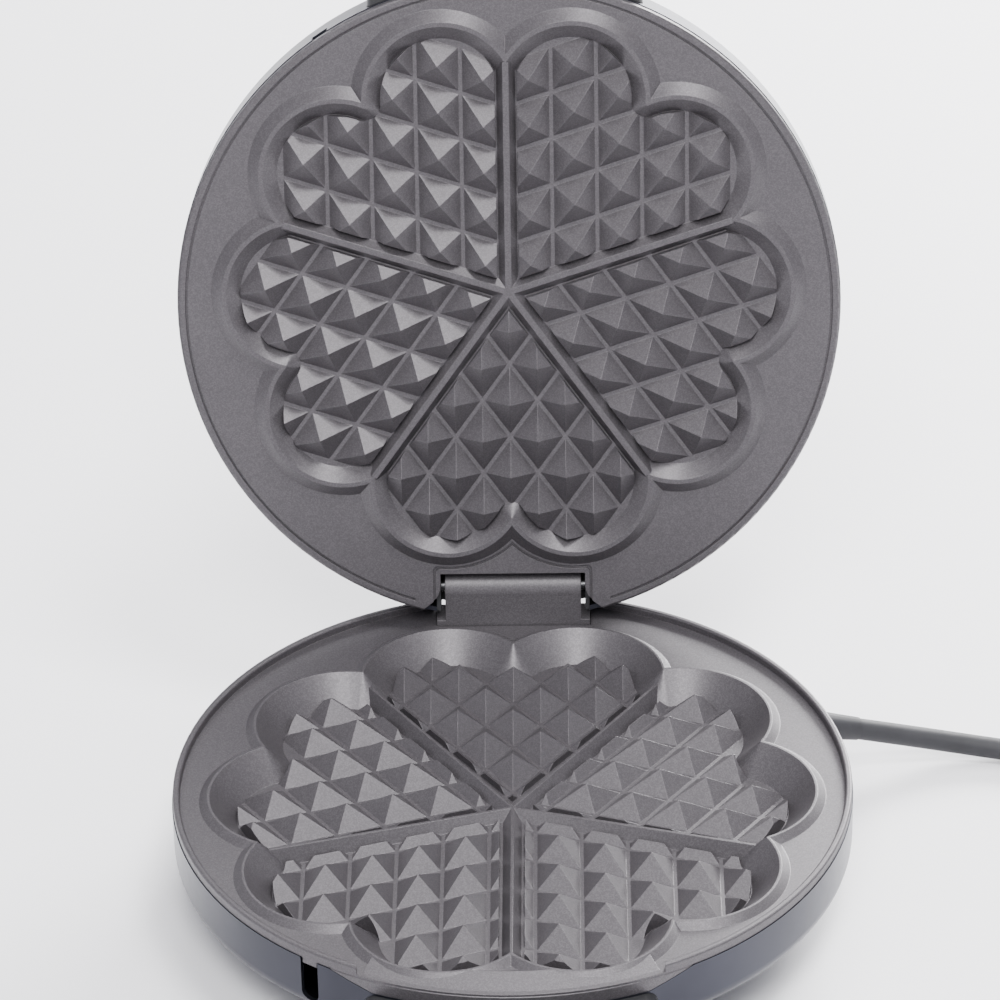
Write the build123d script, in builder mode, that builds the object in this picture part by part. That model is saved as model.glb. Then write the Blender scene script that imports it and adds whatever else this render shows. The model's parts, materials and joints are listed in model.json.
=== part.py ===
from build123d import *
from math import cos, radians, sin, sqrt
import os

os.makedirs("parts", exist_ok=True)

# ---- Driving dimensions, millimetres and degrees ------------------------------------------
LIP_Z = 42.0             # top of the lower plate's lip, above the table
PLATE_Y = -13.12         # centre of the lower plate
LID_LEAN = 15.05         # the open lid leans this far back past upright
HINGE_BACK = 99.94       # hinge axis behind the plate centre
HINGE_UP = 9.71          # hinge axis above the lip
LID_GAP = 0.4            # gap between the two borders when shut

PLATE_R = 110.0          # both plates
SHELL_R = 110.3          # both shells
SHELL_WALL = 1.5
SHELL_TOP = -3.4         # the shell's edge, below the border of its plate
SHELL_KNUCKLE = -20.8    # where the upright wall turns in
SHELL_FLAT = -36.0       # the shell's flat outer face
SHELL_FLAT_R = 84.0

PATTERN_OUT = 5.57       # the hearts' centre lies this far toward the handle
LOBE_OUT = 69.0          # lobe centres, from the hearts' centre
PITCH = 14.83            # spacing of the valleys between the pyramids
VALLEY = 1.25            # flat strip along each valley
PYRAMID = 6.45           # height of a pyramid

LOWER_FLOOR = -10.14     # floor of the lower hearts
LOWER_CREST = -0.8       # crest of the lower border
LOWER_FLANGE = -2.7
SKIRT_Z = -8.0           # lower edge of the plate's front skirt
UPPER_FLOOR = -0.4       # floor of the upper hearts
UPPER_CREST = 3.3        # crest of the upper border

PIN_R = 2.0              # hinge pin
BUSH_BORE = 2.05
BARREL_R = 6.0
TONGUE_HALF = 23.0       # half the width of the hinge tongue
SPINDLE_R = 3.0
SPINDLE_BORE = 3.05
HANDLE_TOP_LOW = -8.6    # top of the lower handle
HANDLE_TOP_HIGH = -3.8   # cooking side of the upper handle
HANDLE_THICK = 13.0
HANDLE_SCREW_LOW = HANDLE_TOP_LOW - 5
HANDLE_SCREW_HIGH = HANDLE_TOP_HIGH - 7
DIAL_V = 50.0            # dial, from the lid's centre toward the handle
LAMP_U = 30.0

HEATER_R = 70.0
TUBE_R = 3.3
BOSS_PLACE = 40.0        # plate fixings, from the plate centre
CORD_R = 3.6

# ---- Frames: local x across, y away from the hinge, z out of the cooking face ---------------
lean = radians(LID_LEAN)
lid_out = Vector(0, sin(lean), cos(lean))
lid_face = Vector(0, -cos(lean), sin(lean))
hinge_point = Vector(0, PLATE_Y + HINGE_BACK, LIP_Z + HINGE_UP)
lid_centre = hinge_point + lid_out * HINGE_BACK + lid_face * (HINGE_UP - LID_GAP)
LOWER = Plane(origin=(0, PLATE_Y, LIP_Z), x_dir=(-1, 0, 0), z_dir=(0, 0, 1))
LID = Plane(origin=lid_centre, x_dir=(1, 0, 0), z_dir=lid_face)
HINGE_W = -(HINGE_UP - LID_GAP)


def level(frame, height, out=0.0, turn=0.0):
    """Plane across a frame's z at a height, its centre moved toward the handle, then turned."""
    angle = radians(turn)
    return Plane(
        frame.origin + frame.y_dir * out + frame.z_dir * height,
        x_dir=frame.x_dir * cos(angle) + frame.y_dir * sin(angle),
        z_dir=frame.z_dir,
    )


def profile(frame, turn=0.0):
    """Plane through a frame's z: x runs outward and y runs along z."""
    turned = level(frame, 0, 0, turn)
    return Plane(turned.origin, x_dir=turned.x_dir, z_dir=-turned.y_dir)


def side(frame, across=0.0):
    """Plane across a frame's x: x runs toward the handle and y runs along z."""
    return Plane(frame.origin, x_dir=frame.y_dir, z_dir=frame.x_dir).offset(across)


def spin(frame):
    """A frame's own z, as an axis."""
    return Axis(frame.origin, frame.z_dir)


def around(radius, angle):
    """Point at a radius and an angle in degrees."""
    return (radius * cos(radians(angle)), radius * sin(radians(angle)))


def cusp_radius(lobe):
    """Where neighbouring lobe circles of this radius cross, from the hearts' centre."""
    return LOBE_OUT * cos(radians(18)) + sqrt(lobe**2 - (LOBE_OUT * sin(radians(18))) ** 2)


def scalloped(lobe):
    """Ten lobes of one radius, out to where they cross."""
    cusp = cusp_radius(lobe)
    with BuildSketch() as face:
        with BuildLine():
            for k in range(10):
                start, middle, end = 36 * k - 18, 36 * k, 36 * k + 18
                ThreePointArc(around(cusp, start), around(LOBE_OUT + lobe, middle), around(cusp, end))
        make_face()
    return face.sketch


def pocket_outline(lobe, run, turn=0.0):
    """The scalloped outline moved inward by a run: every cusp becomes an arc of that radius."""
    cusp = cusp_radius(lobe)
    share = run / lobe
    with BuildSketch() as face:
        with BuildLine():
            for k in range(10):
                middle = 36 * k + turn
                here = Vector(*around(LOBE_OUT, middle))
                after = Vector(*around(LOBE_OUT, middle + 36))
                cusp_before = Vector(*around(cusp, middle - 18))
                cusp_after = Vector(*around(cusp, middle + 18))
                start = cusp_before + (here - cusp_before) * share
                end = cusp_after + (here - cusp_after) * share
                onward = cusp_after + (after - cusp_after) * share
                ThreePointArc(start, around(LOBE_OUT + lobe - run, middle), end)
                ThreePointArc(end, around(cusp - run, middle + 18), onward)
        make_face()
    return face.sketch


def ridge(floor, top_half, foot_half, rise_in, rise_out, length):
    """A ridge between two hearts, along +x from their centre, rising outward."""
    with BuildPart() as bar:
        for x, rise in ((0, rise_in), (length, rise_out)):
            with BuildSketch(Plane.YZ.offset(x)):
                Polygon(
                    (-foot_half, floor - 0.6), (foot_half, floor - 0.6), (foot_half, floor),
                    (top_half, floor + rise), (-top_half, floor + rise), (-foot_half, floor),
                    align=None,
                )
        loft(ruled=True)
    return bar.part


def pyramid_field(floor, first, ridge_clip, lobe, run):
    """The pyramids of one heart along +x, cut upright near its ridges and its wall."""
    half = (PITCH - VALLEY) / 2
    along, across = half / cos(radians(54)), half / sin(radians(54))
    with BuildPart() as one:
        for height, grow in ((floor - 0.4, 1 + 0.4 / PYRAMID), (floor + PYRAMID * 0.98, 0.02)):
            with BuildSketch(Plane.XY.offset(height)):
                Polygon(
                    (along * grow, 0), (0, across * grow), (-along * grow, 0), (0, -across * grow),
                    align=None,
                )
        loft(ruled=True)
    centres = []
    for i in range(7):
        for j in range(7):
            left, right = (i + first) * PITCH, (j + first) * PITCH
            x = (left + right) / 2 / cos(radians(54))
            y = (left - right) / 2 / sin(radians(54))
            lobe_x, lobe_y = around(LOBE_OUT, 18)
            near_lobe = sqrt((x - lobe_x) ** 2 + (abs(y) - lobe_y) ** 2) < lobe - run + 5
            if near_lobe or x < LOBE_OUT:
                centres.append((x, y))
    tip = ridge_clip / sin(radians(36))
    with BuildPart() as field:
        with Locations(*centres):
            add(one.part)
        with BuildSketch(Plane.XY.offset(floor - 1)):
            add(pocket_outline(lobe, run, turn=18))
            with Locations((tip, 0)):
                Polygon((0, 0), around(130, -36), around(130, 36), align=None, mode=Mode.INTERSECT)
        extrude(amount=PYRAMID + 2, mode=Mode.INTERSECT)
    return field.part


def shell_profile():
    """Half section of a shell: upright wall, sloping shoulder, flat face, and an even wall."""
    thick = SHELL_WALL
    with BuildSketch() as section:
        with BuildLine():
            Polyline(
                (0, SHELL_FLAT), (SHELL_FLAT_R, SHELL_FLAT), (SHELL_R, SHELL_KNUCKLE),
                (SHELL_R, SHELL_TOP), (SHELL_R - thick, SHELL_TOP),
                (SHELL_R - thick, SHELL_KNUCKLE + 0.87), (SHELL_FLAT_R - 0.4, SHELL_FLAT + thick),
                (0, SHELL_FLAT + thick), close=True,
            )
        make_face()
        corners = section.vertices()
        fillet(corners.sort_by_distance((SHELL_R, SHELL_KNUCKLE))[0], 6)
        fillet(section.vertices().sort_by_distance((SHELL_R - thick, SHELL_KNUCKLE + 0.87))[0], 4.5)
        fillet(section.vertices().sort_by_distance((SHELL_FLAT_R, SHELL_FLAT))[0], 8)
        fillet(section.vertices().sort_by_distance((SHELL_FLAT_R - 0.4, SHELL_FLAT + thick))[0], 6.5)
    return section.sketch


BOSS_SPOTS = [around(BOSS_PLACE, a) for a in (30, 150, 270)]
FOOT_SPOTS = [around(66, a) for a in (45, 135, 225, 315)]
SLOT_ANGLE = 55.4        # latch slot, from local +x toward the handle
CORD_ANGLE = 212.0       # cord bush, from local +x

# ---- Lower shell --------------------------------------------------------------------------
with BuildPart() as lower_shell:
    with BuildSketch(profile(LOWER)):
        add(shell_profile())
    revolve(axis=spin(LOWER))
    # Posts that carry the heat shield and take the plate screws
    with BuildSketch(level(LOWER, SHELL_FLAT + 0.5)):
        with Locations(*BOSS_SPOTS):
            Circle(6.5)
    extrude(amount=9.5)
    with BuildSketch(level(LOWER, SHELL_FLAT)):
        with Locations(*BOSS_SPOTS):
            Circle(4.2)
    extrude(amount=3.2, mode=Mode.SUBTRACT)
    with BuildSketch(level(LOWER, SHELL_FLAT)):
        with Locations(*BOSS_SPOTS):
            Circle(2.2)
        with Locations(*FOOT_SPOTS):
            Circle(3)
    extrude(amount=12, mode=Mode.SUBTRACT)
    # Latch slot, open at the edge and round at the bottom
    with BuildSketch(profile(LOWER, SLOT_ANGLE - 90)):
        with Locations((0, -9.65)):
            SlotOverall(12.3 + 6.5, 6.5, rotation=90)
        with Locations((0, -3.4)):
            Rectangle(20, 6.5, align=(Align.CENTER, Align.MIN), mode=Mode.SUBTRACT)
    extrude(amount=-120, mode=Mode.SUBTRACT)
    # Gap for the plate's front skirt
    with BuildSketch(Plane(LOWER.origin, x_dir=LOWER.x_dir, z_dir=-LOWER.y_dir)):
        Polygon((-57, -2), (57, -2), (57, -3.2), (43, SKIRT_Z), (-43, SKIRT_Z), (-57, -3.2), align=None)
    extrude(amount=-130, mode=Mode.SUBTRACT)
    # Holes for the handle screws
    with BuildSketch(Plane(level(LOWER, HANDLE_SCREW_LOW).origin, x_dir=LOWER.x_dir, z_dir=LOWER.y_dir)):
        with Locations((-24, 0), (24, 0)):
            Circle(1.9)
    extrude(amount=120, mode=Mode.SUBTRACT)
    # Hole for the cord bush
    cord_side = level(LOWER, -20, 0, CORD_ANGLE)
    with BuildSketch(Plane(cord_side.origin, x_dir=cord_side.y_dir, z_dir=cord_side.x_dir)):
        Circle(7)
    extrude(amount=120, mode=Mode.SUBTRACT)
lower_shell.part.label = "lower_shell"
export_step(lower_shell.part, "parts/lower_shell.step")

# ---- Lower plate --------------------------------------------------------------------------
def front_skirt():
    """The plate's edge carried down at the front, its ends sloping up; in the hearts' frame."""
    middle = Plane((0, -PATTERN_OUT, 0))
    with BuildPart() as skirt:
        with BuildSketch(profile(middle, 90 - 33)):
            Polygon((107, -5), (107, -3), (109.4, -3), (SHELL_R - 0.1, -3.7), (SHELL_R - 0.1, SKIRT_Z),
                    (108.9, SKIRT_Z), (108.2, -5), align=None)
        revolve(axis=spin(middle), revolution_arc=66)
        with BuildSketch(Plane.XZ):
            Polygon((-56.8, -2), (56.8, -2), (56.8, -3.2), (39.9, -9), (-39.9, -9), (-56.8, -3.2), align=None)
        extrude(amount=-130, mode=Mode.INTERSECT)
    return skirt.part


LOWER_RIDGE = ridge(LOWER_FLOOR, 0.45, 3.0, 3.0, 5.5, 83)
LOWER_FIELD = pyramid_field(LOWER_FLOOR, 0.0, 4.1, 29.3, 9.3)

with BuildPart(level(LOWER, 0, PATTERN_OUT)) as lower_plate:
    with BuildSketch(profile(LOWER)):
        with BuildLine():
            Polyline(
                (0, -13.3), (97, -13.3), (97, -6), (108.4, -6), (108.4, SHELL_TOP),
                (PLATE_R, SHELL_TOP), (PLATE_R, -0.6), (PLATE_R - 0.2, -0.2), (PLATE_R - 0.6, 0),
                (108.4, 0), (108, -0.2), (107.8, -0.6), (107.8, LOWER_FLANGE),
                (0, LOWER_FLANGE), close=True,
            )
        make_face()
    revolve(axis=spin(LOWER))
    # The lip stops at the front, where a sloping apron runs out to the edge
    with BuildSketch(level(LOWER, LOWER_FLANGE)):
        with Locations((0, 60)):
            Rectangle(95, 60, align=(Align.CENTER, Align.MIN))
    extrude(amount=5, mode=Mode.SUBTRACT)
    with BuildSketch(profile(LOWER, 90 - 25)):
        Polygon((97.5, -3.4), (97.5, -2.8), (100.5, LOWER_CREST), (108.4, -2.75), (108.4, -3.4), align=None)
    revolve(axis=spin(LOWER), revolution_arc=50)
    add(front_skirt())
    # Raised border round the hearts, then the hearts themselves
    with BuildSketch(level(LOWER, LOWER_FLANGE - 0.4, PATTERN_OUT)):
        add(scalloped(32.9))
    with BuildSketch(level(LOWER, LOWER_CREST, PATTERN_OUT)):
        add(scalloped(29.7))
    loft(ruled=True)
    with BuildSketch(level(LOWER, LOWER_FLOOR, PATTERN_OUT)):
        add(pocket_outline(29.3, 8.9))
    with BuildSketch(level(LOWER, LOWER_CREST, PATTERN_OUT)):
        add(pocket_outline(29.3, 0.4))
    loft(ruled=True, mode=Mode.SUBTRACT)
    with PolarLocations(0, 5, start_angle=18):
        add(LOWER_RIDGE)
    with PolarLocations(0, 5, start_angle=54):
        add(LOWER_FIELD)
    # Notch for the hinge tongue
    with BuildSketch(level(LOWER, -15)) as lower_notch:
        with Locations((0, -93.3)):
            Rectangle(52.4, 30, align=(Align.CENTER, Align.MAX))
        fillet(lower_notch.vertices().group_by(Axis.Y)[-1], 0.7)
    extrude(amount=17, mode=Mode.SUBTRACT)
    # Lug over the latch slot
    with BuildSketch(level(LOWER, SHELL_TOP - 2, 0, SLOT_ANGLE)):
        with Locations((109.1, 0)):
            Rectangle(1.6, 5.4)
    extrude(amount=2.4)
    # Threaded posts for the plate screws
    with BuildSketch(level(LOWER, -25)):
        with Locations(*BOSS_SPOTS):
            Circle(5)
            Circle(2, mode=Mode.SUBTRACT)
    extrude(amount=11.7)
lower_plate.part.label = "lower_plate"
export_step(lower_plate.part, "parts/lower_plate.step")

# ---- Upper plate --------------------------------------------------------------------------
def notch_border(half_width, lobe):
    """The land round the hinge notch, which follows the two rear lobes up to a peak."""
    with BuildSketch() as land:
        with Locations((0, -103)):
            Rectangle(2 * half_width, 22, align=(Align.CENTER, Align.MIN))
        with Locations(*[(way * LOBE_OUT * sin(radians(18)), PATTERN_OUT - LOBE_OUT * cos(radians(18)))
                         for way in (-1, 1)]):
            Circle(lobe, mode=Mode.SUBTRACT)
        peak = land.vertices().filter_by_position(Axis.Y, -91.2, -88)
        fillet(peak.filter_by(lambda corner: abs(corner.X) > half_width - 0.1), 1.6)
    return land.sketch


UPPER_RIDGE = ridge(UPPER_FLOOR, 1.0, 3.1, 2.0, 3.7, 78)
UPPER_FIELD = pyramid_field(UPPER_FLOOR, 0.5, 3.6, 24.8, 4.9)

with BuildPart(level(LID, 0, PATTERN_OUT)) as upper_plate:
    with BuildSketch(profile(LID)) as upper_disc:
        with BuildLine():
            Polyline(
                (0, -4), (108.4, -4), (108.4, SHELL_TOP), (PLATE_R, SHELL_TOP), (PLATE_R, 0),
                (0, 0), close=True,
            )
        make_face()
        fillet(upper_disc.vertices().sort_by_distance((PLATE_R, 0))[0], 0.8)
    revolve(axis=spin(LID))
    # Groove just inside the edge, open at the hinge, and another round the hinge notch
    with BuildSketch(level(LID, -1)):
        Circle(107.5)
        Circle(106.7, mode=Mode.SUBTRACT)
        with Locations((0, -60)):
            Rectangle(66, 60, align=(Align.CENTER, Align.MAX), mode=Mode.SUBTRACT)
        add(notch_border(26.8, 30.4))
        add(notch_border(26.0, 31.2), mode=Mode.SUBTRACT)
    extrude(amount=3, mode=Mode.SUBTRACT)
    # Raised border round the hearts, then the hearts themselves
    with BuildSketch(level(LID, -0.4, PATTERN_OUT)):
        add(scalloped(30.15))
    with BuildSketch(level(LID, UPPER_CREST, PATTERN_OUT)):
        add(scalloped(26.0))
    loft(ruled=True)
    with BuildSketch(level(LID, UPPER_FLOOR, PATTERN_OUT)):
        add(pocket_outline(24.8, 4.9))
    with BuildSketch(level(LID, UPPER_CREST, PATTERN_OUT)):
        add(pocket_outline(24.8, 0.3))
    loft(ruled=True, mode=Mode.SUBTRACT)
    with PolarLocations(0, 5, start_angle=18):
        add(UPPER_RIDGE)
    with PolarLocations(0, 5, start_angle=54):
        add(UPPER_FIELD)
    # Notch that clears the hinge tongue, its mouth flared
    with BuildSketch(level(LID, -6)) as upper_notch:
        Polygon(
            (-24.4, -93), (24.4, -93), (24.4, -101), (33, -107.5), (33, -120), (-33, -120),
            (-33, -107.5), (-24.4, -101), align=None,
        )
        fillet(upper_notch.vertices().filter_by_position(Axis.Y, -102, -100), 8)
    extrude(amount=9, mode=Mode.SUBTRACT)
    # Threaded posts for the plate screws
    with BuildSketch(level(LID, -25)):
        with Locations(*BOSS_SPOTS):
            Circle(5)
            Circle(2, mode=Mode.SUBTRACT)
    extrude(amount=21)
upper_plate.part.label = "upper_plate"
export_step(upper_plate.part, "parts/upper_plate.step")

# ---- Upper shell --------------------------------------------------------------------------
with BuildPart() as upper_shell:
    with BuildSketch(profile(LID)):
        add(shell_profile())
    revolve(axis=spin(LID))
    with BuildSketch(level(LID, SHELL_FLAT + 0.5)):
        with Locations(*BOSS_SPOTS):
            Circle(6.5)
    extrude(amount=9.5)
    with BuildSketch(level(LID, SHELL_FLAT)):
        with Locations(*BOSS_SPOTS):
            Circle(4.2)
    extrude(amount=3.2, mode=Mode.SUBTRACT)
    with BuildSketch(level(LID, SHELL_FLAT)):
        with Locations(*BOSS_SPOTS):
            Circle(2.2)
        with Locations((0, DIAL_V)):
            Circle(SPINDLE_BORE)
        with Locations((-LAMP_U, DIAL_V), (LAMP_U, DIAL_V)):
            Circle(4)
    extrude(amount=12, mode=Mode.SUBTRACT)
    # Opening for the hinge recess
    with BuildSketch(level(LID, -18.5)):
        with Locations((0, -91.5)):
            Rectangle(51.8, 30, align=(Align.CENTER, Align.MAX))
    extrude(amount=20, mode=Mode.SUBTRACT)
    # Catch slot at the edge, above the one in the lower shell
    with BuildSketch(profile(LID, 123.5 - 90)):
        with Locations((0, SHELL_TOP + 1)):
            Rectangle(6, 10)
    extrude(amount=-120, mode=Mode.SUBTRACT)
    # Holes for the handle screws
    with BuildSketch(Plane(level(LID, HANDLE_SCREW_HIGH).origin, x_dir=LID.x_dir, z_dir=LID.y_dir)):
        with Locations((-24, 0), (24, 0)):
            Circle(1.9)
    extrude(amount=120, mode=Mode.SUBTRACT)
upper_shell.part.label = "upper_shell"
export_step(upper_shell.part, "parts/upper_shell.step")

# ---- Hinge --------------------------------------------------------------------------------
with BuildPart() as hinge_bracket:
    with BuildSketch(side(LOWER)) as tongue_profile:
        with BuildLine():
            Polyline(
                (-94, HINGE_UP), (-104, HINGE_UP), (-104, -17), (-80, -32.2), (-76, -34.5),
                (-60, -34.5), (-60, -31), (-78, -29), (-94, -15), close=True,
            )
        make_face()
        with Locations((-HINGE_BACK, HINGE_UP)):
            Circle(BARREL_R)
    extrude(amount=TONGUE_HALF, both=True)
    # Shoulders either side, just below the plate's border
    with BuildSketch(side(LOWER)):
        Polygon((-94, -0.8), (-104, -0.8), (-104, -17), (-94, -15), align=None)
    extrude(amount=26, both=True)
    with BuildSketch(side(LOWER)):
        with Locations((-HINGE_BACK, HINGE_UP)):
            Circle(PIN_R)
    extrude(amount=30, both=True, mode=Mode.SUBTRACT)
hinge_bracket.part.label = "hinge_bracket"
export_step(hinge_bracket.part, "parts/hinge_bracket.step")

with BuildPart() as hinge_pin:
    with BuildSketch(side(LOWER)):
        with Locations((-HINGE_BACK, HINGE_UP)):
            Circle(PIN_R)
    extrude(amount=30.5, both=True)
    chamfer(hinge_pin.edges().filter_by(GeomType.CIRCLE), 0.4)
hinge_pin.part.label = "hinge_pin"
export_step(hinge_pin.part, "parts/hinge_pin.step")

with BuildPart() as lid_hinge_ears:
    with BuildSketch(side(LID)) as ear_profile:
        with BuildLine():
            Polyline(
                (-103.2, -12.5), (-95.6, -6.6), (-66, -32.5), (-66, -34.5), (-77, -34.5), close=True,
            )
        make_face()
        with Locations((-HINGE_BACK, HINGE_W)):
            Circle(4.6)
    extrude(amount=29.2, both=True)
    with BuildSketch(side(LID)):
        Polygon((-110, 0), (-60, 0), (-60, -32.5), (-110, -32.5), align=None)
    extrude(amount=26.2, both=True, mode=Mode.SUBTRACT)
    with BuildSketch(side(LID)):
        with Locations((-HINGE_BACK, HINGE_W)):
            Circle(3)
    extrude(amount=40, both=True, mode=Mode.SUBTRACT)
lid_hinge_ears.part.label = "lid_hinge_ears"
export_step(lid_hinge_ears.part, "parts/lid_hinge_ears.step")

# Walled recess in the lid that clears the tongue
with BuildPart() as hinge_recess:
    with BuildSketch(level(LID, -18.5)):
        Circle(SHELL_R)
        with Locations((0, -91.5)):
            Rectangle(51.8, 30, align=(Align.CENTER, Align.MAX), mode=Mode.INTERSECT)
    extrude(amount=14.3)
    with BuildSketch(level(LID, -17)):
        with Locations((0, -93)):
            Rectangle(48.8, 30, align=(Align.CENTER, Align.MAX))
    extrude(amount=20, mode=Mode.SUBTRACT)
    with BuildSketch(side(LID)):
        with Locations((-HINGE_BACK, HINGE_W)):
            Circle(2.6)
    extrude(amount=28, both=True, mode=Mode.SUBTRACT)
hinge_recess.part.label = "hinge_recess"
export_step(hinge_recess.part, "parts/hinge_recess.step")

with BuildPart() as hinge_bushes:
    for across in (-29.2, 26.2):
        with BuildSketch(side(LID, across)):
            with Locations((-HINGE_BACK, HINGE_W)):
                Circle(3)
                Circle(BUSH_BORE, mode=Mode.SUBTRACT)
        extrude(amount=3)
hinge_bushes.part.label = "hinge_bushes"
export_step(hinge_bushes.part, "parts/hinge_bushes.step")


# ---- Heaters, heat shields, screws and handles ----------------------------------------------
def heater(frame, height, gap_angle):
    """Tubular element in an open ring against the back of a plate, with a pin at each end."""
    turned = level(frame, height, 0, gap_angle + 20)
    with BuildPart() as ring:
        with BuildSketch(profile(turned)):
            with Locations((HEATER_R, 0)):
                Circle(TUBE_R)
        revolve(axis=spin(turned), revolution_arc=320)
        for angle, way in ((gap_angle + 20, 1), (gap_angle - 20, -1)):
            end = level(frame, height, 0, angle)
            start = end.origin + end.x_dir * HEATER_R
            with BuildSketch(Plane(start, x_dir=end.x_dir, z_dir=end.y_dir * -way)):
                Circle(1.8)
            extrude(amount=10)
    return ring.part


def heat_shield(frame, hole=None):
    """Thin disc behind a heater, held on the plate's posts."""
    with BuildPart() as disc:
        with BuildSketch(level(frame, -26)):
            Circle(76)
            with Locations(*BOSS_SPOTS):
                Circle(2.2, mode=Mode.SUBTRACT)
            if hole:
                with Locations((0, hole)):
                    Circle(13.5, mode=Mode.SUBTRACT)
        extrude(amount=1)
    return disc.part


def plate_screws(frame):
    """The three screws that run through the posts into a plate."""
    with BuildPart() as screws:
        with BuildSketch(level(frame, -35.8)):
            with Locations(*BOSS_SPOTS):
                Circle(4)
        extrude(amount=3)
        with BuildSketch(level(frame, -35.8)):
            with Locations(*BOSS_SPOTS):
                RegularPolygon(1.7, 6)
        extrude(amount=1.6, mode=Mode.SUBTRACT)
        with BuildSketch(level(frame, -33)):
            with Locations(*BOSS_SPOTS):
                Circle(2)
        extrude(amount=17)
    return screws.part


def handle(frame, top, screw):
    """Flat tapered grip, its root hollowed to the round of the shell."""
    with BuildPart() as grip:
        with BuildSketch(level(frame, top - HANDLE_THICK)) as outline:
            with BuildLine():
                Polyline((-46, 92), (46, 92), (44, 118), (37, 155), (-37, 155), (-44, 118), close=True)
            make_face()
            fillet(outline.vertices().group_by(Axis.Y)[-1], 15)
            fillet(outline.vertices().filter_by_position(Axis.Y, 117, 119), 30)
        extrude(amount=HANDLE_THICK)
        top_and_bottom = grip.faces().filter_by(Axis(frame.origin, frame.z_dir)).edges()
        fillet(top_and_bottom.filter_by(lambda e: (e.center() - frame.origin).dot(frame.y_dir) > 95), 4)
        with BuildSketch(level(frame, top - HANDLE_THICK - 1)):
            Circle(SHELL_R)
        extrude(amount=20, mode=Mode.SUBTRACT)
        with BuildSketch(Plane(level(frame, screw).origin, x_dir=frame.x_dir, z_dir=frame.y_dir)):
            with Locations((-24, 0), (24, 0)):
                Circle(1.75)
        extrude(amount=125, mode=Mode.SUBTRACT)
    return grip.part


def handle_screws(frame, height):
    """Two screws from inside the shell into a handle."""
    with BuildPart() as screws:
        front = Plane(level(frame, height).origin, x_dir=frame.x_dir, z_dir=frame.y_dir)
        with BuildSketch(front.offset(102.4)):
            with Locations((-24, 0), (24, 0)):
                Circle(3.4)
        extrude(amount=2.8)
        with BuildSketch(front.offset(102.4)):
            with Locations((-24, 0), (24, 0)):
                Circle(1.75)
        extrude(amount=21)
    return screws.part


with BuildPart() as lower_heater:
    add(heater(LOWER, -13.3 - TUBE_R, CORD_ANGLE))
lower_heater.part.label = "lower_heater"
export_step(lower_heater.part, "parts/lower_heater.step")

with BuildPart() as upper_heater:
    add(heater(LID, -4 - TUBE_R, 270))
upper_heater.part.label = "upper_heater"
export_step(upper_heater.part, "parts/upper_heater.step")

with BuildPart() as lower_heat_shield:
    add(heat_shield(LOWER))
lower_heat_shield.part.label = "lower_heat_shield"
export_step(lower_heat_shield.part, "parts/lower_heat_shield.step")

with BuildPart() as upper_heat_shield:
    add(heat_shield(LID, DIAL_V))
upper_heat_shield.part.label = "upper_heat_shield"
export_step(upper_heat_shield.part, "parts/upper_heat_shield.step")

with BuildPart() as lower_plate_screws:
    add(plate_screws(LOWER))
lower_plate_screws.part.label = "lower_plate_screws"
export_step(lower_plate_screws.part, "parts/lower_plate_screws.step")

with BuildPart() as upper_plate_screws:
    add(plate_screws(LID))
upper_plate_screws.part.label = "upper_plate_screws"
export_step(upper_plate_screws.part, "parts/upper_plate_screws.step")

with BuildPart() as lower_handle:
    add(handle(LOWER, HANDLE_TOP_LOW, HANDLE_SCREW_LOW))
lower_handle.part.label = "lower_handle"
export_step(lower_handle.part, "parts/lower_handle.step")

with BuildPart() as upper_handle:
    add(handle(LID, HANDLE_TOP_HIGH, HANDLE_SCREW_HIGH))
upper_handle.part.label = "upper_handle"
export_step(upper_handle.part, "parts/upper_handle.step")

with BuildPart() as lower_handle_screws:
    add(handle_screws(LOWER, HANDLE_SCREW_LOW))
lower_handle_screws.part.label = "lower_handle_screws"
export_step(lower_handle_screws.part, "parts/lower_handle_screws.step")

with BuildPart() as upper_handle_screws:
    add(handle_screws(LID, HANDLE_SCREW_HIGH))
upper_handle_screws.part.label = "upper_handle_screws"
export_step(upper_handle_screws.part, "parts/upper_handle_screws.step")

# ---- Feet ---------------------------------------------------------------------------------
with BuildPart() as rubber_feet:
    with BuildSketch(level(LOWER, -LIP_Z)):
        with Locations(*FOOT_SPOTS):
            Circle(9)
    extrude(amount=LIP_Z + SHELL_FLAT)
    chamfer(rubber_feet.edges().group_by(Axis.Z)[0], 1)
    with BuildSketch(level(LOWER, SHELL_FLAT)):
        with Locations(*FOOT_SPOTS):
            Circle(3)
    extrude(amount=SHELL_WALL)
    with BuildSketch(level(LOWER, SHELL_FLAT + SHELL_WALL)):
        with Locations(*FOOT_SPOTS):
            Circle(4.4)
    extrude(amount=2)
rubber_feet.part.label = "rubber_feet"
export_step(rubber_feet.part, "parts/rubber_feet.step")

# ---- Electrical pieces in the base ----------------------------------------------------------
WIRING = level(LOWER, 0, 0, CORD_ANGLE)         # local x points from the centre to the cord bush

with BuildPart() as terminal_block:
    with BuildSketch(WIRING.offset(-34.5)):
        with Locations((51, 0)):
            Rectangle(14, 36)
    extrude(amount=7.5)
    with BuildSketch(WIRING.offset(-28.5)):
        with Locations((51, -12), (51, 0), (51, 12)):
            Circle(2.2)
    extrude(amount=2, mode=Mode.SUBTRACT)
terminal_block.part.label = "terminal_block"
export_step(terminal_block.part, "parts/terminal_block.step")

with BuildPart() as thermal_fuse:
    with BuildSketch(level(LOWER, -18.3)):
        RectangleRounded(20, 8, 2)
    extrude(amount=5)
thermal_fuse.part.label = "thermal_fuse"
export_step(thermal_fuse.part, "parts/thermal_fuse.step")

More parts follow.
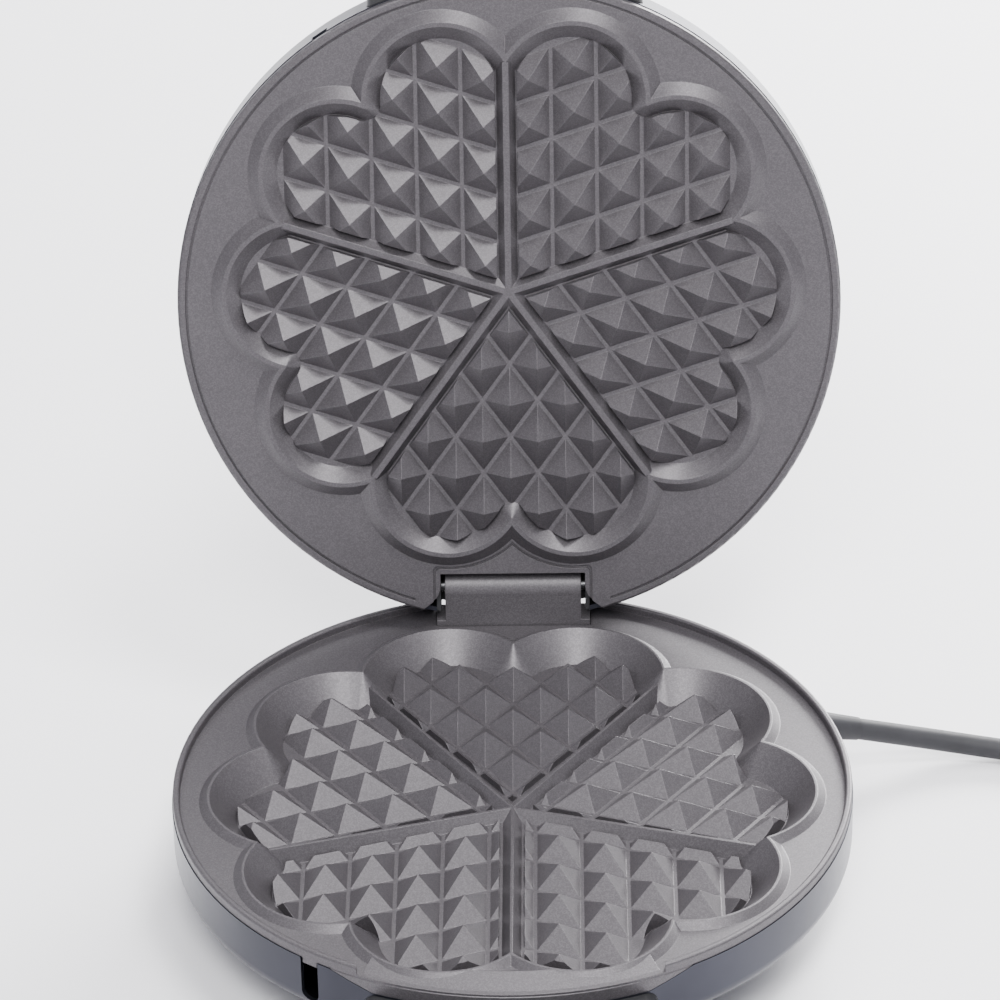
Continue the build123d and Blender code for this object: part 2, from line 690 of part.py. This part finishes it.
with BuildPart() as heater_leads:
    for across in (-14, 14):
        ends = [(71, -16.6), (79, -16.6), (79, -30.5), (58, -30.5)]
        corners = [WIRING.from_local_coords(Vector(x, across, z)) for x, z in ends]
        with BuildLine():
            lead_path = FilletPolyline(*corners, radius=4)
        with BuildSketch(Plane(lead_path @ 0, z_dir=lead_path % 0)):
            Circle(1.2)
        sweep(path=lead_path)
heater_leads.part.label = "heater_leads"
export_step(heater_leads.part, "parts/heater_leads.step")

with BuildPart() as mains_lead_inner:
    ends = [(101.5, -20), (90, -24.8), (78, -30.5), (58, -30.5)]
    corners = [WIRING.from_local_coords(Vector(x, 0, z)) for x, z in ends]
    with BuildLine():
        inner_path = FilletPolyline(*corners, radius=10)
    with BuildSketch(Plane(inner_path @ 0, z_dir=inner_path % 0)):
        Circle(CORD_R)
    sweep(path=inner_path)
mains_lead_inner.part.label = "mains_lead_inner"
export_step(mains_lead_inner.part, "parts/mains_lead_inner.step")

# ---- Cord bush, cord, coil and plug ---------------------------------------------------------
EXIT = Vector(94, 59 + PLATE_Y, LIP_Z - 20)
RELIEF_END = Vector(115.6, 66.2 + PLATE_Y, LIP_Z - 27.7)
CORD_Z = CORD_R                            # cord centre where it lies on the table
COIL_CENTRE = Vector(222, 22 + PLATE_Y, 0)
COIL_MID = 39.5                            # radius at the middle of the turns
COIL_LAYER = 2 * CORD_R

with BuildPart() as cord_bush:
    with BuildSketch(Plane(WIRING.origin + WIRING.z_dir * -20, x_dir=WIRING.y_dir,
                           z_dir=WIRING.x_dir).offset(103)):
        Circle(7)
    extrude(amount=9)
    relief_way = (RELIEF_END - EXIT).normalized()
    with BuildSketch(Plane(EXIT - relief_way * 2, z_dir=relief_way)):
        Circle(5.4)
    with BuildSketch(Plane(RELIEF_END, z_dir=relief_way)):
        Circle(3.9)
    loft(ruled=True)
cord_bush.part.label = "cord_bush"
export_step(cord_bush.part, "parts/cord_bush.step")

CORD_ROUTE = [
    RELIEF_END,
    Vector(134.5, 69.4 + PLATE_Y, LIP_Z - 33.3),
    Vector(155.0, 69.8 + PLATE_Y, LIP_Z - 37.5),
    Vector(176.0, 65.4 + PLATE_Y, CORD_Z),
    Vector(196.0, 65.4 + PLATE_Y, CORD_Z),
]
TAIL_ROUTE = [
    Vector(265.4, -4 + PLATE_Y, CORD_Z),
    Vector(265.4, -26 + PLATE_Y, CORD_Z),
    Vector(265.4, -50 + PLATE_Y, 13.5),
    Vector(265.4, -74 + PLATE_Y, 18.5),
    Vector(265.4, -94 + PLATE_Y, 18.5),
]


def bend_radii(route):
    """The largest radius that the two runs beside each corner allow."""
    radii = []
    for before, here, after in zip(route, route[1:], route[2:]):
        half_turn = radians((here - before).get_angle(after - here) / 2)
        shorter = min((here - before).length, (after - here).length)
        radii.append(0.45 * shorter * cos(half_turn) / sin(half_turn))
    return radii


def cord_tube(route):
    """Round cord along straight runs joined by tangent arcs."""
    with BuildPart() as tube:
        with BuildLine():
            path = FilletPolyline(*route, radius=bend_radii(route))
        with BuildSketch(Plane(path @ 0, z_dir=path % 0)):
            Circle(CORD_R)
        sweep(path=path)
    section = 3.14159265 * CORD_R**2
    print("cord radii", [round(r, 1) for r in bend_radii(route)])
    print("cord volume", round(tube.part.volume, 1), "section x length", round(section * path.length, 1))
    return tube.part


with BuildPart() as power_cord:
    add(cord_tube(CORD_ROUTE))
power_cord.part.label = "power_cord"
export_step(power_cord.part, "parts/power_cord.step")

with BuildPart() as cord_tail:
    add(cord_tube(TAIL_ROUTE))
cord_tail.part.label = "cord_tail"
export_step(cord_tail.part, "parts/cord_tail.step")

# Two turns side by side and two high, with the cord leading in at the back and out at the right
with BuildPart() as cord_coil:
    with BuildSketch(Plane(COIL_CENTRE)):
        Circle(COIL_MID + COIL_LAYER)
        Circle(COIL_MID - COIL_LAYER, mode=Mode.SUBTRACT)
    extrude(amount=2 * COIL_LAYER)
    with BuildSketch(Plane(CORD_ROUTE[-1], z_dir=(1, 0, 0))):
        Circle(CORD_R)
    extrude(amount=26)
    with BuildSketch(Plane(TAIL_ROUTE[0], z_dir=(0, 1, 0))):
        Circle(CORD_R)
    extrude(amount=26)
cord_coil.part.label = "cord_coil"
export_step(cord_coil.part, "parts/cord_coil.step")

PLUG = Plane(TAIL_ROUTE[-1], x_dir=(1, 0, 0), z_dir=(0, -1, 0))

with BuildPart() as plug_body:
    with BuildSketch(PLUG):
        Circle(4.6)
    with BuildSketch(PLUG.offset(22)):
        Circle(7)
    loft(ruled=True)
    with BuildSketch(PLUG.offset(22)):
        Circle(9)
    with BuildSketch(PLUG.offset(36)):
        Circle(18.5)
    loft(ruled=True)
    with BuildSketch(PLUG.offset(36)):
        Circle(18.5)
    extrude(amount=22)
    with BuildSketch(PLUG.offset(48)):
        with Locations((-18.5, 0), (18.5, 0)):
            Rectangle(4, 7)
    extrude(amount=10, mode=Mode.SUBTRACT)
    with BuildSketch(PLUG.offset(48)):
        with Locations((-9.5, 0), (9.5, 0)):
            Circle(2.4)
    extrude(amount=10, mode=Mode.SUBTRACT)
plug_body.part.label = "plug_body"
export_step(plug_body.part, "parts/plug_body.step")

with BuildPart() as plug_pins:
    with BuildSketch(PLUG.offset(48)):
        with Locations((-9.5, 0), (9.5, 0)):
            Circle(2.4)
    extrude(amount=29)
    chamfer(plug_pins.edges().filter_by(GeomType.CIRCLE).group_by(Axis.Y)[0], 0.8)
plug_pins.part.label = "plug_pins"
export_step(plug_pins.part, "parts/plug_pins.step")

# ---- Thermostat, dial and lamps in the lid ---------------------------------------------------
with BuildPart() as thermostat:
    with BuildSketch(level(LID, SHELL_FLAT + SHELL_WALL, DIAL_V)):
        Circle(12)
        Circle(SPINDLE_BORE, mode=Mode.SUBTRACT)
    extrude(amount=22.5)
thermostat.part.label = "thermostat"
export_step(thermostat.part, "parts/thermostat.step")

with BuildPart() as dial_spindle:
    with BuildSketch(level(LID, -46, DIAL_V)):
        Circle(SPINDLE_R)
    extrude(amount=26)
dial_spindle.part.label = "dial_spindle"
export_step(dial_spindle.part, "parts/dial_spindle.step")

with BuildPart() as temperature_dial:
    with BuildSketch(level(LID, SHELL_FLAT - 0.3, DIAL_V)):
        Circle(18)
    with BuildSketch(level(LID, SHELL_FLAT - 13, DIAL_V)):
        Circle(15.5)
    loft(ruled=True)
    with BuildSketch(level(LID, SHELL_FLAT - 13, DIAL_V)):
        with PolarLocations(17.6, 12):
            Circle(1.6)
    extrude(amount=8, mode=Mode.SUBTRACT)
    with BuildSketch(level(LID, -46, DIAL_V)):
        Circle(SPINDLE_R)
    extrude(amount=12, mode=Mode.SUBTRACT)
temperature_dial.part.label = "temperature_dial"
export_step(temperature_dial.part, "parts/temperature_dial.step")

with BuildPart() as indicator_lamps:
    with BuildSketch(level(LID, -37.5)):
        with Locations((-LAMP_U, DIAL_V), (LAMP_U, DIAL_V)):
            Circle(4)
    extrude(amount=3)
    with BuildSketch(level(LID, SHELL_FLAT + SHELL_WALL)):
        with Locations((-LAMP_U, DIAL_V), (LAMP_U, DIAL_V)):
            Circle(5.5)
    extrude(amount=5)
indicator_lamps.part.label = "indicator_lamps"
export_step(indicator_lamps.part, "parts/indicator_lamps.step")
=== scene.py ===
import json
import math

import bmesh
import bpy
from mathutils import Matrix, Vector


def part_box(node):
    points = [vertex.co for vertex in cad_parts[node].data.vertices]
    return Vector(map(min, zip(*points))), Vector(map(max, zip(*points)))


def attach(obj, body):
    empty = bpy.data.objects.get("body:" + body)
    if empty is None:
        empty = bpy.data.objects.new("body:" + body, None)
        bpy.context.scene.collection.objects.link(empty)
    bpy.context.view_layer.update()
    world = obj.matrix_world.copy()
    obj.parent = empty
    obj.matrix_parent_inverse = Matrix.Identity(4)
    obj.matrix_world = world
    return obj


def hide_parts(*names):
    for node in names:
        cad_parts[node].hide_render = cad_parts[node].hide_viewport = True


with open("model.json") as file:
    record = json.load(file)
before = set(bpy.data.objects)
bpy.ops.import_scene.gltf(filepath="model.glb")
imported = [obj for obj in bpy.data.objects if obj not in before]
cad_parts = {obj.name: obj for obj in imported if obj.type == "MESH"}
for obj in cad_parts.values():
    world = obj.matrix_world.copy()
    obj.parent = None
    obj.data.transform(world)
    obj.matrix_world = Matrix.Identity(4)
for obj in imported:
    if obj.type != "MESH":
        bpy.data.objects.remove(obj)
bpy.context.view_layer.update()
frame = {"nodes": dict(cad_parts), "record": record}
nodes = frame["nodes"]

# ---- Sizes, metres --------------------------------------------------------------------------
PLATE_Y = sum(p.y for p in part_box("lower_heat_shield")) / 2  # centre of the lower plate
LIP_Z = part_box("lower_plate")[1].z  # top of the lower plate's lip

CAMERA_PLACE = (0.02109, -1.34634, 0.95951)  # from the lower plate's centre, at its lip
CAMERA_RIGHT = (0.99984, 0.00663, -0.0168)
CAMERA_UP = (0.01064, 0.53507, 0.84474)
CAMERA_LENS = 183.49  # millimetres
CAMERA_SENSOR = 36.0  # millimetres
CAMERA_REACH = 50

CORD_RADIUS = 0.0036
COIL_CENTRE = (0.222, 0.022)  # from the lower plate's centre
COIL_OUTER = 0.0434
COIL_INNER = 0.0359
COIL_LOW = 0.0036
COIL_HIGH = 0.0108
STEPS_PER_TURN = 16
COIL_TURNS = 4.25
CLIMB_FROM = 0.7  # share of a turn after which the cord moves over to the next one

FLOOR_HALF = 6
FLOOR_DROP = 0.0002  # keeps the floor clear of the feet


# ---- Camera -------------------------------------------------------------------------------
def add_camera():
    data = bpy.data.cameras.new("camera")
    data.lens = CAMERA_LENS
    data.sensor_width = CAMERA_SENSOR
    data.clip_end = CAMERA_REACH
    cam = bpy.data.objects.new("camera", data)
    bpy.context.scene.collection.objects.link(cam)
    right = Vector(CAMERA_RIGHT)
    up = Vector(CAMERA_UP)
    back = right.cross(up)
    turn = Matrix((right, up, back)).transposed().to_4x4()
    x, y, z = CAMERA_PLACE
    place = Vector((x, y + PLATE_Y, z + LIP_Z))
    cam.matrix_world = Matrix.Translation(place) @ turn
    bpy.context.scene.camera = cam


add_camera()


# ---- Materials ----------------------------------------------------------------------------
class Nodes:
    """Short way to build a material's node tree."""

    def __init__(self, name):
        self.mat = bpy.data.materials.new(name)
        self.mat.use_nodes = True
        self.tree = self.mat.node_tree
        self.shader = self.tree.nodes["Principled BSDF"]
        self.coords = self.tree.nodes.new("ShaderNodeTexCoord").outputs["Object"]

    def set(self, **values):
        for key, value in values.items():
            self.shader.inputs[key.replace("_", " ")].default_value = value

    def noise(self, scale, detail, stretch=None):
        node = self.tree.nodes.new("ShaderNodeTexNoise")
        node.inputs["Scale"].default_value = scale
        node.inputs["Detail"].default_value = detail
        if stretch:
            mapping = self.tree.nodes.new("ShaderNodeMapping")
            mapping.inputs["Scale"].default_value = stretch
            self.link(self.coords, mapping.inputs["Vector"])
            self.link(mapping.outputs["Vector"], node.inputs["Vector"])
        else:
            self.link(self.coords, node.inputs["Vector"])
        return node.outputs["Fac"]

    def cells(self, scale):
        node = self.tree.nodes.new("ShaderNodeTexVoronoi")
        node.inputs["Scale"].default_value = scale
        self.link(self.coords, node.inputs["Vector"])
        split = self.tree.nodes.new("ShaderNodeSeparateColor")
        self.link(node.outputs["Color"], split.inputs["Color"])
        return split.outputs["Red"]

    def ramp(self, source, stops):
        node = self.tree.nodes.new("ShaderNodeValToRGB")
        ramp = node.color_ramp
        while len(ramp.elements) < len(stops):
            ramp.elements.new(0.5)
        for element, (place, colour) in zip(ramp.elements, stops):
            element.position = place
            element.color = (*colour, 1)
        self.link(source, node.inputs["Fac"])
        return node.outputs["Color"]

    def scaled(self, source, low, high):
        node = self.tree.nodes.new("ShaderNodeMapRange")
        node.inputs["To Min"].default_value = low
        node.inputs["To Max"].default_value = high
        self.link(source, node.inputs["Value"])
        return node.outputs["Result"]

    def mixed(self, first, second, share):
        node = self.tree.nodes.new("ShaderNodeMix")
        node.data_type = "RGBA"
        node.inputs["Factor"].default_value = share
        self.link(first, node.inputs["A"])
        self.link(second, node.inputs["B"])
        return node.outputs["Result"]

    def colour(self, source):
        self.link(source, self.shader.inputs["Base Color"])

    def rough(self, source):
        self.link(source, self.shader.inputs["Roughness"])

    def bump(self, source, strength, distance, soft_edge=0.0):
        node = self.tree.nodes.new("ShaderNodeBump")
        node.inputs["Strength"].default_value = strength
        node.inputs["Distance"].default_value = distance
        self.link(source, node.inputs["Height"])
        if soft_edge:
            edge = self.tree.nodes.new("ShaderNodeBevel")
            edge.samples = 6
            edge.inputs["Radius"].default_value = soft_edge
            self.link(edge.outputs["Normal"], node.inputs["Normal"])
        self.link(node.outputs["Normal"], self.shader.inputs["Normal"])

    def link(self, a, b):
        self.tree.links.new(a, b)


def coated(name, dark, light, metallic, rough, soft_edge):
    """Sprayed non-stick coating with fine metallic flake."""
    m = Nodes(name)
    flake = m.ramp(m.cells(2900), [(0.0, dark), (0.25, dark), (1.0, light)])
    middle = [0.8 * a + 0.2 * b for a, b in zip(dark, light)]
    cloud = m.ramp(m.noise(38, 4), [(0.3, dark), (0.75, middle)])
    m.colour(m.mixed(flake, cloud, 0.45))
    m.rough(m.scaled(m.noise(900, 2), rough - 0.05, rough + 0.06))
    m.bump(m.noise(3200, 2), 0.12, 0.00004, soft_edge)
    m.set(Metallic=metallic, Specular_IOR_Level=0.5)
    return m.mat


def lacquered_shell():
    """Dark blue-grey metallic lacquer on sheet metal."""
    m = Nodes("shell_metal")
    base, lighter = (0.030, 0.031, 0.041), (0.042, 0.043, 0.055)
    m.colour(m.ramp(m.noise(30, 3), [(0.3, base), (0.7, lighter)]))
    m.rough(m.scaled(m.noise(260, 2), 0.3, 0.36))
    m.bump(m.noise(1800, 2), 0.03, 0.00002)
    m.set(Metallic=0.85, Coat_Weight=0.06, Coat_Roughness=0.15)
    return m.mat


def plastic(name, dark, light, rough, grain=1500, height=0.00006):
    """Moulded plastic, rubber or woven sleeve, by its grain."""
    m = Nodes(name)
    m.colour(m.ramp(m.noise(60, 3), [(0.3, dark), (0.7, light)]))
    m.rough(m.scaled(m.noise(400, 2), rough - 0.05, rough + 0.07))
    m.bump(m.noise(grain, 2), 0.25, height, 0.0004)
    return m.mat


def metal(name, dark, light, rough, stretch=(1, 1, 1)):
    """Bare metal, its marks drawn out along one axis by the stretch."""
    m = Nodes(name)
    m.colour(m.ramp(m.noise(90, 3, stretch=stretch), [(0.3, dark), (0.7, light)]))
    m.rough(m.scaled(m.noise(600, 2, stretch=stretch), rough - 0.06, rough + 0.1))
    m.bump(m.noise(900, 2, stretch=stretch), 0.1, 0.00005)
    m.set(Metallic=0.95)
    return m.mat


def cord_rubber():
    """Matt black cord sheath."""
    m = Nodes("cord_rubber")
    m.colour(m.ramp(m.noise(70, 4), [(0.3, (0.022, 0.022, 0.025)), (0.75, (0.034, 0.034, 0.038))]))
    m.rough(m.scaled(m.noise(500, 3), 0.55, 0.68))
    m.bump(m.noise(1600, 2), 0.2, 0.00006)
    m.set(Specular_IOR_Level=0.35)
    return m.mat


def amber():
    """Glossy amber lens of an unlit lamp."""
    m = Nodes("lamp_amber")
    m.colour(m.ramp(m.noise(300, 1), [(0.3, (0.75, 0.22, 0.03)), (0.7, (0.9, 0.36, 0.06))]))
    m.rough(m.scaled(m.noise(300, 1), 0.1, 0.16))
    m.bump(m.noise(700, 1), 0.08, 0.00005)
    m.set(Coat_Weight=0.5)
    return m.mat


FINISH = {
    "non_stick": coated("non_stick", (0.070, 0.064, 0.070), (0.125, 0.117, 0.125), 0.45, 0.42, 0.0003),
    "hinge_coating": coated("hinge_coating", (0.085, 0.079, 0.085), (0.15, 0.14, 0.15), 0.3, 0.46, 0.0004),
    "shell_metal": lacquered_shell(),
    "element_steel": metal("element_steel", (0.16, 0.14, 0.13), (0.30, 0.26, 0.22), 0.5),
    "shield_aluminium": metal("shield_aluminium", (0.66, 0.66, 0.68), (0.78, 0.78, 0.8), 0.35, (1, 14, 1)),
    "screw_steel": metal("screw_steel", (0.13, 0.13, 0.135), (0.2, 0.2, 0.205), 0.42),
    "pin_steel": metal("pin_steel", (0.10, 0.10, 0.105), (0.15, 0.15, 0.155), 0.35, (1, 20, 20)),
    "bush_brass": metal("bush_brass", (0.62, 0.47, 0.22), (0.75, 0.6, 0.32), 0.25),
    "black_plastic": plastic("black_plastic", (0.012, 0.012, 0.013), (0.024, 0.024, 0.026), 0.42),
    "block_plastic": plastic("block_plastic", (0.62, 0.59, 0.51), (0.75, 0.72, 0.64), 0.5),
    "lead_sleeve": plastic("lead_sleeve", (0.6, 0.58, 0.52), (0.78, 0.76, 0.7), 0.8, 3500, 0.0002),
    "foot_rubber": plastic("foot_rubber", (0.018, 0.018, 0.02), (0.03, 0.03, 0.032), 0.7),
    "cord_rubber": cord_rubber(),
    "lamp_amber": amber(),
}
for part in frame["record"]["subparts"]:
    mesh = nodes[part["node"]].data
    mesh.materials.clear()
    mesh.materials.append(FINISH[part["material_slot"]])


# ---- Cord: one line from the relief, through the coil, to the plug --------------------------
def from_plate(point):
    """A point whose y counts from the lower plate's centre, in the object's frame."""
    x, y, z = point
    return Vector((x, y + PLATE_Y, z))


def coil_points():
    """Two turns on the floor and two on top of them, wound inward and then outward."""
    middle = from_plate((*COIL_CENTRE, 0))
    turns = [
        (COIL_OUTER, COIL_LOW),
        (COIL_INNER, COIL_LOW),
        (COIL_INNER, COIL_HIGH),
        (COIL_OUTER, COIL_HIGH),
        (COIL_OUTER, COIL_HIGH),
    ]
    tight = 1 / math.cos(math.pi / STEPS_PER_TURN)
    points = []
    for k in range(int(COIL_TURNS * STEPS_PER_TURN) + 1):
        turn, share = divmod(k / STEPS_PER_TURN, 1)
        here, after = turns[int(turn)], turns[min(int(turn) + 1, len(turns) - 1)]
        blend = max(0.0, (share - CLIMB_FROM) / (1 - CLIMB_FROM))
        radius = (here[0] + (after[0] - here[0]) * blend) * tight
        angle = math.pi / 2 - 2 * math.pi * k / STEPS_PER_TURN
        height = here[1] + (after[1] - here[1]) * blend
        points.append(middle + Vector((radius * math.cos(angle), radius * math.sin(angle), height)))
    return points


def cord_points():
    """The whole route, listed point by point but for the coil; y counts from the lower plate's centre."""
    lead = [
        (0.1156, 0.0662, 0.0143),
        (0.1345, 0.0694, 0.0087),
        (0.1550, 0.0698, 0.0045),
        (0.1760, 0.0654, 0.0036),
        (0.1960, 0.0654, 0.0036),
    ]
    tail = [
        (0.2654, 0.000, 0.0085),
        (0.2654, -0.018, 0.0044),
        (0.2654, -0.032, 0.0044),
        (0.2654, -0.050, 0.0135),
        (0.2654, -0.074, 0.0185),
        (0.2654, -0.094, 0.0185),
    ]
    start = [from_plate(point) for point in lead]
    end = [from_plate(point) for point in tail]
    return start + coil_points() + end


def add_cord():
    curve = bpy.data.curves.new("mains_cord", "CURVE")
    curve.dimensions = "3D"
    curve.bevel_depth = CORD_RADIUS
    curve.bevel_resolution = 8
    curve.resolution_u = 12
    curve.use_fill_caps = True
    spline = curve.splines.new("NURBS")
    route = cord_points()
    spline.points.add(len(route) - 1)
    for point, at in zip(spline.points, route):
        point.co = (*at, 1)
    spline.order_u = 3
    spline.use_endpoint_u = True
    curve.materials.append(FINISH["cord_rubber"])
    cord = bpy.data.objects.new("mains_cord", curve)
    bpy.context.scene.collection.objects.link(cord)
    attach(cord, "base")
    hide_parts("power_cord", "cord_coil", "cord_tail")


add_cord()


# ---- Floor and light ----------------------------------------------------------------------
def add_floor():
    mesh = bpy.data.meshes.new("floor")
    bm = bmesh.new()
    bmesh.ops.create_grid(bm, x_segments=2, y_segments=2, size=FLOOR_HALF)
    bm.to_mesh(mesh)
    bm.free()
    m = Nodes("floor")
    m.colour(m.ramp(m.noise(0.8, 1), [(0.3, (0.885, 0.88, 0.90)), (0.7, (0.905, 0.90, 0.92))]))
    m.rough(m.scaled(m.noise(60, 2), 0.5, 0.58))
    m.set(Specular_IOR_Level=0.3)
    mesh.materials.append(m.mat)
    floor = bpy.data.objects.new("floor", mesh)
    bpy.context.scene.collection.objects.link(floor)
    floor.location.z = -FLOOR_DROP


def add_area(name, place, target, size, power):
    data = bpy.data.lights.new(name, "AREA")
    data.shape = "RECTANGLE"
    data.size, data.size_y = size
    data.energy = power
    lamp = bpy.data.objects.new(name, data)
    bpy.context.scene.collection.objects.link(lamp)
    lamp.location = place
    lamp.rotation_euler = (Vector(target) - Vector(place)).to_track_quat("-Z", "Y").to_euler()


def add_world():
    world = bpy.data.worlds.new("studio")
    world.use_nodes = True
    world.node_tree.nodes["Background"].inputs["Color"].default_value = (0.93, 0.93, 1.0, 1)
    world.node_tree.nodes["Background"].inputs["Strength"].default_value = 0.85
    bpy.context.scene.world = world


add_floor()
add_area("key", (-0.05, -1.25, 1.55), (0, 0.05, 0.08), (0.7, 0.7), 40)
add_area("top", (0.4, -0.25, 1.75), (0, 0.08, 0.1), (0.5, 0.5), 26)
add_area("overhead", (0.2, 1.0, 1.8), (0, 0.4, 0.0), (1.2, 1.0), 26)
add_area("back", (0.75, 1.65, 0.75), (0.15, 0.45, 0.0), (0.8, 0.6), 110)
add_world()
